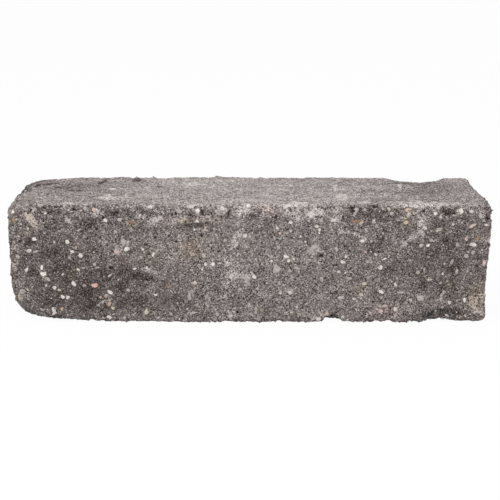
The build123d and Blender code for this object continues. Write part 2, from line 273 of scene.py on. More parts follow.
PALE_AREAS = (
    (30, 219, 22, 10, -55, 0.9), (68, 222, 9, 14, 0, 0.6), (95, 211, 16, 10, -50, 0.6),
    (72, 209, 20, 6, 0, 0.4), (15, 262, 8, 60, 0, 0.5), (21, 298, 14, 8, 30, 0.6),
    (14, 230, 8, 20, 0, 0.3), (118, 251, 12, 10, 0, 0.7), (125, 244, 12, 12, 0, 0.6),
    (98, 238, 26, 10, -20, 0.4), (75, 247, 22, 12, 0, 0.3), (44, 274, 7, 14, 0, 0.7),
    (65, 297, 14, 6, 0, 0.6), (108, 303, 16, 8, 70, 0.6), (150, 272, 20, 7, -10, 0.7),
    (150, 293, 20, 10, 0, 0.35), (140, 215, 14, 10, 0, 0.5), (155, 219, 16, 12, 0, 0.6),
    (165, 213, 16, 10, 0, 0.4), (222, 209, 12, 10, 0, 1.0), (184, 219, 20, 8, 10, 0.6),
    (207, 216, 18, 12, 0, 0.6), (240, 212, 22, 12, 0, 0.9), (238, 236, 26, 8, 60, 0.9),
    (232, 247, 10, 8, 0, 0.9), (227, 262, 16, 10, 0, 0.5), (233, 275, 20, 14, 0, 0.65),
    (227, 284, 12, 10, 0, 0.6), (247, 276, 14, 10, 30, 0.6), (240, 260, 40, 20, 0, 0.2),
    (206, 262, 24, 10, 0, 0.35), (268, 210, 16, 8, 0, 0.7), (290, 206, 50, 5, 0, 0.4),
    (315, 212, 24, 12, 20, 0.75), (300, 219, 30, 8, 0, 0.4), (335, 222, 14, 10, 0, 0.5),
    (345, 230, 36, 7, -5, 0.5), (362, 239, 12, 8, -40, 0.6), (314, 251, 12, 14, -30, 0.65),
    (280, 247, 14, 10, 0, 0.4), (288, 257, 12, 8, 0, 0.45), (270, 262, 10, 16, 0, 0.3),
    (290, 291, 10, 8, 0, 0.8), (276, 270, 10, 8, 0, 0.4), (343, 262, 12, 8, 0, 0.55),
    (421, 227, 22, 11, 75, 0.9), (410, 239, 22, 8, 35, 0.6), (408, 214, 8, 14, 0, 0.5),
    (475, 246, 12, 12, 0, 0.5), (460, 211, 12, 9, 0, 0.7), (480, 213, 12, 10, 0, 0.4),
    (452, 261, 26, 4, -55, 0.5), (430, 279, 10, 6, 20, 0.4), (420, 297, 12, 10, 0, 0.5),
    (475, 301, 16, 24, 0, 0.7), (481, 312, 10, 12, 0, 0.6), (231, 314, 14, 8, 0, 0.6),
    (325, 315, 16, 8, 0, 0.6), (380, 310, 30, 14, 0, 0.4), (405, 292, 16, 6, 0, 0.4),
    (375, 306, 14, 6, 0, 0.4), (190, 295, 16, 8, 60, 0.5), (187, 312, 12, 6, 0, 0.4),
    (340, 280, 70, 40, 0, 0.15), (107, 197, 26, 5, 0, 0.9), (70, 203, 40, 4, 5, 0.6),
    (195, 184, 60, 7, 0, 0.5), (218, 181, 16, 5, 0, 0.5), (250, 199, 30, 6, 0, 0.4),
    (295, 204, 50, 5, 0, 0.6), (342, 197, 20, 14, 0, 0.6), (336, 188, 8, 12, 0, 0.6),
    (364, 202, 20, 8, 0, 0.6), (400, 187, 6, 8, 0, 0.8), (429, 204.4, 78, 7, 0, 0.75),
    (380, 180, 20, 4, 0, 0.3), (150, 192, 40, 5, 0, 0.25), (290, 186, 20, 3, 0, 0.4),
)
OCHRE_AREAS = (
    (30, 219, 22, 10, -55, 0.7), (190, 250, 30, 22, 0, 0.6), (358, 288, 24, 12, 0, 0.5),
    (23, 234, 12, 10, 0, 0.6), (72, 274, 8, 10, 0, 0.8), (185, 221, 28, 7, 5, 0.7),
    (208, 219, 22, 6, 0, 0.6), (475, 299, 18, 28, 0, 0.8), (131, 222, 9, 8, 0, 0.9),
    (408, 216, 8, 18, 0, 0.7), (478, 238, 14, 8, 0, 0.7), (147, 312, 10, 10, 0, 0.6),
    (109, 303, 8, 12, 0, 0.6), (450, 284, 8, 8, 0, 0.6), (13, 268, 8, 40, 0, 0.4),
    (150, 255, 20, 16, 0, 0.3),
)
PINK_AREAS = (
    (268, 210, 16, 8, 0, 1.0), (380, 310, 30, 14, 0, 0.9), (125, 259, 14, 12, 0, 0.6),
    (445, 290, 24, 16, 0, 0.4), (166, 286, 16, 9, 0, 0.5), (325, 315, 16, 8, 0, 0.6),
    (90, 252, 20, 14, 0, 0.4), (356, 221, 14, 8, 0, 0.8),
)
# Broad changes of tone, with how much lighter the skin is there last
BROAD_TONES = (
    (60, 262, 120, 110, 0, -0.16), (122, 290, 120, 40, 0, -0.10), (440, 262, 100, 110, 0, -0.13),
    (300, 212, 90, 20, 0, 0.16), (255, 262, 130, 80, 0, 0.02), (190, 214, 110, 16, 0, -0.03),
    (235, 190, 200, 34, 0, 0.05), (340, 194, 70, 26, 0, 0.02), (60, 182, 90, 12, 0, -0.05),
    # The area at px 24, 300 lightens the knocked-off lower left corner: painted light on a facet that
    # faces down and to the left
    (250, 262, 900, 120, 0, -0.04), (24, 300, 30, 22, -40, 0.08), (418, 190, 62, 13, 0, -0.09),
    (85, 302, 110, 24, 0, -0.08), (75, 213, 70, 14, 0, 0.08), (440, 213, 70, 12, 0, 0.1),
    (190, 248, 50, 30, 0, 0.04), (13, 262, 10, 70, 0, 0.05),
    (150, 213, 40, 14, 0, 0.02), (410, 215, 130, 16, 0, 0.05), (130, 308, 150, 18, 0, -0.045),
    (405, 309, 140, 18, 0, 0.035),
)
# Marks, the same: painted shade in cracks on the top, in crevices under the top front arris and in
# the chip low at the right, a painted shadow line under the band on the front, a painted highlight
# along the top front arris, and pale clods and lime along the arris and on the top
MARKS_AND_PAINTED_LIGHT = (
    (44, 206.4, 20, 1.8, 0, -0.25), (58.5, 206.6, 5, 1.6, 0, -0.25), (72, 209, 8, 1.6, 0, -0.5),
    (37, 212, 7, 1.8, 0, -0.3), (29.5, 212, 2.4, 2.4, 0, -0.5), (48, 213.5, 3, 2.4, 0, -0.35),
    (57.5, 213, 3, 3, 0, -0.35), (77, 207.8, 3, 1.6, 0, -0.3), (352, 208.2, 4, 2.4, 0, -0.5),
    (374, 206.2, 9, 1.6, 0, -0.4), (403.5, 208.6, 6, 2, 0, -0.35), (424.5, 210, 9, 2.2, 18, -0.45),
    (291, 209, 3, 2, 0, -0.35), (318, 206.8, 6, 1.6, 0, -0.25), (332, 206.2, 2.6, 2.2, 0, -0.35),
    (453, 213.3, 2.6, 2.2, 0, -0.5), (436.5, 217, 2.6, 2.2, 0, -0.4), (488, 219, 4, 3, 0, -0.5),
    (196, 207.4, 5, 1.8, 0, -0.3), (48, 204.6, 28, 1.2, 0, 0.12), (124, 207, 14, 1.8, 8, 0.25),
    (150, 206.8, 9, 2.6, 0, 0.28), (133, 205, 8, 1.4, 0, 0.15), (195, 205.8, 32, 1.3, 0, 0.16),
    (191.5, 207.2, 4, 1.4, 0, 0.3), (249, 204.8, 9, 1.6, 0, 0.2), (295, 205.2, 34, 1.4, 0, 0.12),
    (399, 207.6, 14, 2, 0, 0.16), (431, 207.6, 30, 2.2, 0, 0.14), (236, 206, 9, 2.2, 0, 0.14),
    (68, 221, 5, 10, 20, 0.12), (78, 212, 10, 3.6, 40, 0.12), (95, 215, 8, 4.4, -30, 0.12),
    (177.5, 210, 8, 4, -45, 0.16), (183, 221, 16, 3.4, 0, 0.12), (161, 219, 9, 5, 0, 0.14),
    (218, 213.5, 6, 5.4, 0, 0.14), (239, 213, 4.4, 7, -15, 0.16), (246, 209, 8, 7, 0, 0.14),
    (233, 220, 3.4, 9, 0, 0.12), (266, 210, 8, 7, 0, 0.08), (297, 216, 8, 5, 0, 0.10),
    (312, 213, 13, 5, 45, 0.18), (302, 221, 14, 2.6, 42, 0.16), (315, 220, 3.4, 7, 0, 0.14),
    (338, 211, 14, 4, 0, 0.08), (421, 221, 9, 7, 0, 0.12), (409, 212, 4.4, 6, 0, 0.10),
    (51, 213, 14, 6, 0, -0.10), (58, 219, 15, 8, 0, -0.10), (75, 217, 9, 4.4, 20, -0.12),
    (89, 221, 16, 8, 0, -0.16), (112, 213, 16, 5.4, 0, -0.12), (130, 212, 6, 8, 0, -0.16),
    (141, 212, 11, 7, 0, -0.08), (151, 213.5, 9, 4.4, 0, -0.10), (167, 215, 12, 4.4, 10, -0.14),
    (185, 209.6, 10, 3.4, 0, -0.14), (203, 213, 6, 8, 0, -0.12), (190.5, 216, 4, 8, 0, -0.12),
    (228, 211, 3.4, 8, 0, -0.12), (225, 217.5, 16, 3.4, -10, -0.12), (255, 216, 8, 7, 0, -0.16),
    (275, 215, 10, 5.4, 0, -0.12), (287, 219.5, 8, 5, 0, -0.10), (304, 217, 6, 5, 0, -0.12),
    (320, 217.4, 11, 3.4, 0, -0.14), (328, 215, 8, 3.4, 25, -0.16), (325, 209, 12, 3, 0, -0.08),
    (308, 223.6, 14, 5, 0, -0.14), (346, 219, 7, 6, 0, -0.10), (357, 212, 10, 8, 0, -0.18),
    (368, 212, 9, 12, 0, -0.20), (385, 213, 18, 8, 0, -0.14), (377, 220, 16, 6, 0, -0.14),
    (402, 214, 8, 5, 0, -0.14), (427, 214, 13, 6, 0, -0.10), (448, 213, 11, 8, 0, -0.20),
    (463, 218.4, 13, 5.4, 0, -0.10), (396, 220, 9, 8, 0, -0.08), (441, 222, 15, 8, 0, -0.08),
    (24, 191, 6, 2.2, 20, -0.4), (38, 185, 9, 1.2, 16, -0.5), (50, 184.2, 14, 1.2, 8, -0.55),
    (33, 182.4, 5, 1.2, 10, -0.4), (79, 190.5, 7, 1.2, 0, -0.35), (72, 190.5, 5, 1.2, 0, -0.3),
    (102, 182.4, 7, 1.4, 12, -0.45), (106, 179.4, 6, 1.2, 12, -0.45),
    (136, 179.8, 13, 1.2, -4, -0.55),
    (160, 186, 9, 1.0, 0, -0.3), (59, 187, 9, 1.0, 10, -0.3), (44, 180, 8, 1.0, 8, -0.3),
    (27, 189, 7, 3.4, 45, -0.25), (33.5, 183.4, 10, 3.2, 38, -0.25), (45, 178.4, 14, 2.4, 18, -0.25),
    (61, 175.4, 18, 1.8, 6, -0.2), (470, 181, 10, 2.4, -32, -0.25), (478.5, 189.5, 12, 3, -48, -0.28),
    (487, 201, 4, 12, 15, -0.2), (491, 215, 3, 14, 0, -0.15), (402, 183.4, 24, 1.6, 0, -0.2),
    (432, 182.4, 22, 1.6, 12, -0.15), (31, 217, 17, 8, -55, 0.15), (207, 220.4, 10, 2, 0, 0.14),
    (431, 314.4, 14, 2.6, 25, -0.35),
    (446, 311, 20, 5, 0, -0.12), (461, 313, 12, 5, 0, -0.08), (477, 311, 8, 10, 0, 0.14),
    (409, 240, 12, 2.4, 42, 0.12), (418.5, 232, 12, 2.4, 34, 0.13), (421.5, 241.5, 11, 2.4, -57, 0.14),
    (149, 271.5, 13, 4.4, 0, 0.16), (153.5, 253, 6, 2, 50, 0.14), (192, 293, 5, 9, -25, 0.10),
    (225, 259.5, 9, 5, 0, 0.10), (232, 276, 16, 7, 0, 0.08), (247, 281, 9, 5, 40, 0.10),
    (134, 277, 12, 10, 0, -0.10), (150, 280, 20, 4, 0, -0.08), (239, 232, 12, 9, 0, 0.06),
    (131, 206.2, 5, 3, 0, 0.14), (150.5, 207.8, 6, 4, 0, 0.14), (152, 221.5, 6, 4, 30, 0.14),
    (143.7, 212, 9, 4, 0, -0.12), (208, 213.5, 14, 5, 0, -0.10), (230, 215, 11, 7, 0, -0.08),
    (162, 229, 20, 6, 0, -0.06), (195, 225, 26, 4.4, 0, -0.08),
)
# Small dents: the same, with the depth in millimetres last. The hollows are in the solid, and the
# dents are also painted darker: painted shade in them.
DENTS = (
    (201.6, 235.3, 5, 3, 0, 1.6), (218.5, 251.3, 3.5, 3, 0, 1.6), (176, 241.4, 3.5, 2.5, 0, 1.3),
    (168, 236.8, 3, 2.5, 0, 1.1), (238.4, 297.6, 3, 3, 0, 1.3), (236.8, 312.3, 3.5, 3.5, 0, 1.3),
    (320.6, 255.7, 7, 4, 0, 1.9), (477, 266, 4, 3.5, 0, 1.3), (476.3, 289.4, 6, 3, 0, 1.6),
    (29.6, 190.4, 8, 2.5, 0, 1.2), (131.7, 179.2, 6, 1.5, 0, 1.0), (191, 227, 32, 4, 0, 0.7),
)


def make_camera():
    """A camera at the photograph's place and angle."""
    data = bpy.data.cameras.new("camera")
    data.sensor_width = SENSOR_MM
    data.lens = FOCAL_PX / PHOTO_PX * SENSOR_MM
    camera = bpy.data.objects.new("camera", data)
    camera.location = CAMERA_AT
    camera.rotation_euler = (math.pi / 2 - CAMERA_PITCH, 0, 0)
    bpy.context.scene.collection.objects.link(camera)
    bpy.context.scene.camera = camera


def add_object(name, mesh, material):
    """Link a mesh to the scene as a piece of the block's body, with the given material in its one
    slot.
    """
    mesh.materials.clear()
    mesh.materials.append(material)
    piece = bpy.data.objects.new(name, mesh)
    bpy.context.scene.collection.objects.link(piece)
    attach(piece, "root")
    return piece


# Places in the photograph

RIGHT = np.array((1.0, 0.0, 0.0))
AHEAD = np.array((0.0, math.cos(CAMERA_PITCH), -math.sin(CAMERA_PITCH)))
UPWARD = np.cross(RIGHT, AHEAD)


def photo_places(points):
    """Pixel at which each point is seen, as px right and px down."""
    sight = points - np.array(CAMERA_AT)
    spread = FOCAL_PX / (sight @ AHEAD)
    px_right = PHOTO_PX / 2 + spread * (sight @ RIGHT)
    px_down = PHOTO_PX / 2 - spread * (sight @ UPWARD)
    return np.stack((px_right, px_down), 1)


def sight_line(px_right, px_down):
    """Direction in which the camera sees a pixel."""
    across = (px_right - PHOTO_PX / 2) / FOCAL_PX
    up = (PHOTO_PX / 2 - px_down) / FOCAL_PX
    return Vector(AHEAD + across * RIGHT + up * UPWARD).normalized()


def facing_camera(points, normals):
    """1 where the skin faces the camera and 0 where it is turned away."""
    sight = np.array(CAMERA_AT) - points
    cosine = (sight * normals).sum(1) / np.linalg.norm(sight, axis=1)
    return smooth_step(cosine, start=0.02, end=0.15)


def areas_at(places, areas):
    """Share of the strongest of some soft-edged areas at each place in the photograph."""
    total = np.zeros(len(places))
    for px_right, px_down, across, high, tilt, share in areas:
        turn = math.radians(tilt)
        right, up = places[:, 0] - px_right, px_down - places[:, 1]
        along = (right * math.cos(turn) + up * math.sin(turn)) / (across / 2)
        over = (up * math.cos(turn) - right * math.sin(turn)) / (high / 2)
        total = np.maximum(total, share * np.exp(-(along**2 + over**2)))
    return total


def tone_at(places, areas):
    """How much lighter or darker some areas make each place in the photograph."""
    total = np.zeros(len(places))
    for *area, lift in areas:
        total += lift * areas_at(places, [(*area, 1.0)])
    return total


# Noise on arrays of points

def smooth_step(values, start, end):
    """0 up to the start, 1 from the end on, and a smooth rise between them."""
    share = np.clip((values - start) / (end - start), 0, 1)
    return share * share * (3 - 2 * share)


def lattice_noise(points, cell, seed):
    """Smooth noise from -1 to 1 with lumps of about one cell; cell is a size or one per axis."""
    spare_cells = 2
    cell = np.broadcast_to(np.asarray(cell, float), (3,))
    where = (points - LOW) / cell + spare_cells
    base = np.floor(where).astype(int)
    part = where - base
    part = part * part * (3 - 2 * part)
    span = np.ceil((HIGH - LOW) / cell).astype(int) + 3 * spare_cells
    lattice = np.random.default_rng(seed).uniform(-1, 1, tuple(span))
    total = np.zeros(len(points))
    for corner in np.ndindex(2, 2, 2):
        index = np.clip(base + corner, 0, span - 1)
        weight = np.prod(np.where(corner, part, 1 - part), axis=1)
        total += weight * lattice[index[:, 0], index[:, 1], index[:, 2]]
    return total


def broken_noise(points, cell, seed, octaves=3, fade=0.55):
    """Several sizes of lattice noise on top of one another."""
    cell = np.broadcast_to(np.asarray(cell, float), (3,))
    total = np.zeros(len(points))
    share = 1.0
    for octave in range(octaves):
        total += share * lattice_noise(points, cell / 2**octave, seed + octave)
        share *= fade
    return total


# Skin of the block

def remeshed_block():
    """The frame's block as an even mesh of small quads."""
    source = bpy.data.objects.new("source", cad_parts[NODE].data.copy())
    bpy.context.scene.collection.objects.link(source)
    remesh = source.modifiers.new("remesh", "REMESH")
    remesh.mode = "VOXEL"
    remesh.voxel_size = VOXEL
    evaluated = source.evaluated_get(bpy.context.evaluated_depsgraph_get())
    mesh = bpy.data.meshes.new_from_object(evaluated)
    bpy.data.objects.remove(source)
    return mesh


def read_vectors(items, name):
    """One three-number property of every item of a Blender collection, as an array."""
    values = np.empty(len(items) * 3)
    items.foreach_get(name, values)
    return values.reshape(-1, 3)


def add_layer(mesh, name, values):
    """Keep one number, or one colour, for each point of a mesh."""
    if values.ndim == 1:
        mesh.attributes.new(name, "FLOAT", "POINT").data.foreach_set("value", values)
    else:
        colours = np.concatenate((values, np.ones((len(values), 1))), axis=1)
        mesh.attributes.new(name, "FLOAT_COLOR", "POINT").data.foreach_set("color", colours.ravel())


def point_tree(points):
    """A tree that finds the nearest of the points."""
    tree = KDTree(len(points))
    for index, point in enumerate(points):
        tree.insert(point, index)
    tree.balance()
    return tree


def nearness_to_arris(points, reach):
    """1 on an arris and 0 away from it: the second nearest of the block's faces tells."""
    gaps = np.sort(np.minimum(points - LOW, HIGH - points), axis=1)
    return np.exp(-np.maximum(gaps[:, 1], 0) / reach)


def brokenness(points, normals):
    """1 on the arrises, a little less on other slants such as chips, and 0 on a flat face."""
    slanted = smooth_step(1 - np.abs(normals).max(1), start=0.03, end=0.10)
    return np.maximum(nearness_to_arris(points, BROKEN_REACH), 0.8 * slanted)


def on_top(points, normals):
    """1 on the top of the block and 0 elsewhere."""
    level = smooth_step(normals[:, 2], start=0.7, end=0.93)
    return level * smooth_step(points[:, 2], start=HIGH[2] - 12 * MM, end=HIGH[2] - 5 * MM)


def pit_depths(points, count, radius_range, depth_share, seed):
    """Depth of small craters scattered over the points."""
    rng = np.random.default_rng(seed)
    tree = point_tree(points)
    depths = np.zeros(len(points))
    centres = rng.integers(0, len(points), count)
    radii = rng.uniform(*radius_range, count)
    for centre, radius in zip(centres, radii):
        for _, index, distance in tree.find_range(points[centre], radius):
            bowl = radius * depth_share * (1 - (distance / radius) ** 2)
            depths[index] = max(depths[index], bowl)
    return depths


def unwrap_by_side(mesh):
    """Lay the skin out for baking: each of the six sides flat in its own rectangle."""
    size = HIGH - LOW
    square = size[0] + size[2] + UNWRAP_GAP
    row = size[2] + UNWRAP_GAP / 3
    ends_column = size[0] + UNWRAP_GAP / 2
    charts = {
        # side as axis and sign: axes across and up the rectangle, and its lowest corner
        (1, 0): (0, 2, 0, 0),
        (1, 1): (0, 2, 0, row),
        (2, 1): (0, 1, 0, 2 * row),
        (2, 0): (0, 1, 0, 2 * row + size[1] + UNWRAP_GAP / 3),
        (0, 0): (2, 1, ends_column, 0),
        (0, 1): (2, 1, ends_column, size[1] + UNWRAP_GAP / 2),
    }
    faces = mesh.polygons
    turned = np.abs(read_vectors(faces, "normal"))
    middle = read_vectors(faces, "center")
    # A face that is far from both ends is laid with one of the long sides
    from_end = np.minimum(middle[:, 0] - LOW[0], HIGH[0] - middle[:, 0])
    turned[from_end > 0.3 * size[1], 0] = 0
    axis = turned.argmax(1)
    positive = (middle > (LOW + HIGH) / 2)[np.arange(len(axis)), axis]
    corners = np.empty(len(mesh.loops), int)
    mesh.loops.foreach_get("vertex_index", corners)
    counts = np.empty(len(faces), int)
    faces.foreach_get("loop_total", counts)
    side_axis, side_positive = np.repeat(axis, counts), np.repeat(positive, counts)
    places = (read_vectors(mesh.vertices, "co") - LOW)[corners]
    flat = np.zeros((len(corners), 2))
    for (chart_axis, sign), (across, up, start_across, start_up) in charts.items():
        on_side = (side_axis == chart_axis) & (side_positive == bool(sign))
        flat[on_side, 0] = places[on_side, across] + start_across
        flat[on_side, 1] = places[on_side, up] + start_up
    mesh.uv_layers.new(name="OFBake").uv.foreach_set("vector", (flat / square).ravel())


def skin_relief(points, broken, top, dent):
    """How far the skin stands out from the solid: least on the top and most by the arrises."""
    rough = 1.0 - 0.5 * top + 1.3 * broken
    grain = np.random.default_rng(31).uniform(-1, 1, len(points))
    relief = BROAD_RELIEF * broken_noise(points, BROAD_LUMPS, seed=11, octaves=2)
    relief += FACE_RELIEF * rough * broken_noise(points, FACE_LUMPS, seed=21)
    relief += ARRIS_RELIEF * broken * broken_noise(points, ARRIS_LUMPS, seed=51)
    relief += GRAIN_RELIEF * (rough + broken) * grain
    relief -= rough * pit_depths(points, PIT_COUNT, PIT_RADII, PIT_DEPTH, seed=41)
    relief -= dent * MM
    relief -= DRAWN_IN
    return relief


def skin_layers(points, places, seen, top, dent):
    """What colours the concrete: the photograph's patches where it sees the skin, painted shade and a
    painted highlight among them, else noise.
    """
    sideways = broken_noise(points, 9 * MM, seed=61, octaves=2)
    upward = broken_noise(points, 9 * MM, seed=71, octaves=2)
    ragged = places + 2.2 * np.stack((sideways, upward), 1)
    in_photo = seen > 0.5

    clouds = 0.85 * broken_noise(points, (42 * MM, 42 * MM, 24 * MM), seed=81)
    pale = seen * areas_at(ragged, PALE_AREAS) + (1 - seen) * np.clip(clouds - 0.2, 0, 1)
    dark = seen * areas_at(ragged, DARK_AREAS) + (1 - seen) * np.clip(-clouds, 0, 1)
    unseen_ochre = 0.5 * smooth_step(broken_noise(points, 40 * MM, seed=91), start=0.5, end=1.0)
    unseen_pink = smooth_step(broken_noise(points, 44 * MM, seed=95), start=0.6, end=1.1)
    unseen_tone = -0.08 * broken_noise(points, 90 * MM, seed=99, octaves=2)
    # The marks hold painted shade in cracks and crevices, a painted shadow line and a painted
    # highlight along the top front arris
    marks_and_painted_light = tone_at(0.6 * places + 0.4 * ragged, MARKS_AND_PAINTED_LIGHT)
    seen_tone_and_painted_light = tone_at(places, BROAD_TONES) + 1.5 * marks_and_painted_light
    return {
        "top": top,
        "pale": pale,
        # The dents are painted darker: painted shade in them
        "dark": np.maximum(dark, 0.8 * dent),
        "ochre": np.where(in_photo, areas_at(ragged, OCHRE_AREAS), unseen_ochre),
        "pink": np.where(in_photo, areas_at(ragged, PINK_AREAS), unseen_pink),
        # The seen tone holds the painted shade and painted highlight of the marks, and painted light
        # on the lower left facet
        "tone_and_painted_light": np.where(in_photo, seen_tone_and_painted_light, unseen_tone),
        "crumbly": nearness_to_arris(points, CRUMBLY_REACH) * (1 - top),
    }


class Skin:
    """The skin's mesh, its points, which way they face, and which are seen or on the top."""

    def __init__(self):
        self.mesh = remeshed_block()
        unwrap_by_side(self.mesh)
        solid_points = read_vectors(self.mesh.vertices, "co")
        self.normals = read_vectors(self.mesh.vertex_normals, "vector")
        self.seen = facing_camera(solid_points, self.normals)
        self.top = on_top(solid_points, self.normals)
        places = photo_places(solid_points)
        dent = self.seen * areas_at(places, DENTS)
        for name, values in skin_layers(solid_points, places, self.seen, self.top, dent).items():
            add_layer(self.mesh, name, values)

        broken = brokenness(solid_points, self.normals)
        relief = skin_relief(solid_points, broken, self.top, dent)
        points = solid_points + self.normals * relief[:, None]
        points[:, 2] = np.maximum(points[:, 2], LOW[2])
        self.mesh.vertices.foreach_set("co", points.ravel())
        self.mesh.shade_smooth()
        self.mesh.update()
        self.points = read_vectors(self.mesh.vertices, "co")

        self.nearest = point_tree(self.points)
        corners = [tuple(face.vertices) for face in self.mesh.polygons]
        self.surface = BVHTree.FromPolygons([Vector(point) for point in self.points], corners)

    def smooth_normal_at(self, at):
        """Outward direction of the unbroken block at a place on it."""
        return self.normals[self.nearest.find(at)[1]]


# Stones and grit in the skin

def stone_form(rounds):
    """Points and faces of a ball, which every stone is cut from."""
    ball = bmesh.new()
    bmesh.ops.create_icosphere(ball, subdivisions=rounds, radius=1.0)
    points = np.array([vertex.co for vertex in ball.verts])
    faces = np.array([[vertex.index for vertex in face.verts] for face in ball.faces])
    ball.free()
    return points, faces


def unit_vectors(vectors):
    """The vectors' directions, each of length 1."""
    return vectors / np.linalg.norm(vectors, axis=-1, keepdims=True)


def stones_mesh(name, stones, rounds, cuts, proud, seed):
    """One mesh of stones bedded in the skin, from lists of place, normal, size, tilt and colour."""
    at, normal, size, tilt, colour = (np.array(column, float) for column in zip(*stones))
    rng = np.random.default_rng(seed)
    ball, ball_faces = stone_form(rounds)
    count, corners = len(at), len(ball)

    form = np.repeat(ball[None], count, axis=0)
    # Each cut flattens what lies past its reach
    for _ in range(cuts):
        way = unit_vectors(rng.normal(size=(count, 1, 3)))
        reach = rng.uniform(0.45, 0.8, (count, 1))
        past = np.maximum((form * way).sum(2) - reach, 0)
        form -= past[:, :, None] * way
    half = np.column_stack((size / 2, size.min(1) * HALF_DEPTH)) * CUT_ALLOWANCE
    form *= half[:, None, :]
    flat_top = (FLAT_TOP * half[:, 2])[:, None]
    form[:, :, 2] = np.minimum(form[:, :, 2], flat_top)
    form[:, :, 2] += proud - flat_top

    along_y = np.abs(normal[:, 0:1]) > 0.8
    across = np.where(along_y, (0.0, 1.0, 0.0), (1.0, 0.0, 0.0))
    across = unit_vectors(across - (across * normal).sum(1, keepdims=True) * normal)
    up = np.cross(normal, across)
    cosine, sine = np.cos(tilt)[:, None], np.sin(tilt)[:, None]
    across, up = cosine * across + sine * up, cosine * up - sine * across
    basis = np.stack((across, up, normal), axis=1)
    points = at[:, None, :] + form @ basis
    points[:, :, 2] = np.maximum(points[:, :, 2], LOW[2])

    faces = (ball_faces[None] + corners * np.arange(count)[:, None, None]).reshape(-1, 3)
    mesh = bpy.data.meshes.new(name)
    mesh.from_pydata(points.reshape(-1, 3), [], faces)
    add_layer(mesh, "stone_colour", np.repeat(colour, corners, axis=0))

    # Layout for baking: each stone in a square of its own
    columns = math.ceil(math.sqrt(count))
    cell = np.stack(np.divmod(np.arange(count), columns), 1)[:, None, :]
    inside = 0.5 + 0.4 * form[:, :, :2] / half.max(1)[:, None, None]
    flat = ((cell + inside) / columns).reshape(-1, 2)[faces.ravel()]
    mesh.uv_layers.new(name="OFBake").uv.foreach_set("vector", flat.ravel())
    mesh.update()
    return mesh


def linear(colour):
    """A screen colour from 0 to 255, as the linear colour that a shader takes."""
    shares = np.asarray(colour, float) / 255
    return np.where(shares <= 0.04045, shares / 12.92, ((shares + 0.055) / 1.055) ** 2.4)


def stones_and_shade_in_photo(skin, rng):
    """Stones that the photograph shows, with dark slivers of painted shade among them, laid on the
    skin where the camera sees them.
    """
    for name, spots in STONES_AND_SHADE_SEEN.items():
        for px_right, px_down, across, high, tilt in spots:
            line = sight_line(px_right, px_down)
            at, facing, _, distance = skin.surface.ray_cast(CAMERA_AT, line)
            if at is None:
                continue
            metres = distance / FOCAL_PX
            steep = max(abs(facing.dot(line)), 0.3)
            size = (across * metres, high * metres / steep)
            colour = linear(STONE_COLOURS[name]) * rng.uniform(0.9, 1.08)
            yield at, skin.smooth_normal_at(at), size, math.radians(tilt), colour


def scattered_stones(skin, count, sizes, colours, allowed, rng, patchy=0.0):
    """Stones strewn over the skin where allowed, a share from 0 to 1, lets them lie."""
    clusters = broken_noise(skin.points, 45 * MM, seed=101, octaves=2)
    odds = allowed * np.clip(1 + patchy * clusters, 0.05, None)
    names = list(colours)
    shares = np.array([colours[name] for name in names], float)
    smallest, largest = sizes
    for index in rng.choice(len(skin.points), count, replace=False, p=odds / odds.sum()):
        across = smallest + (largest - smallest) * rng.beta(1.3, 3.0)
        name = names[rng.choice(len(names), p=shares / shares.sum())]
        colour = linear(STONE_COLOURS[name]) * rng.uniform(0.8, 1.08)
        size = (across, across * rng.uniform(0.6, 0.95))
        yield skin.points[index], skin.normals[index], size, rng.uniform(0, math.pi), colour


# Materials

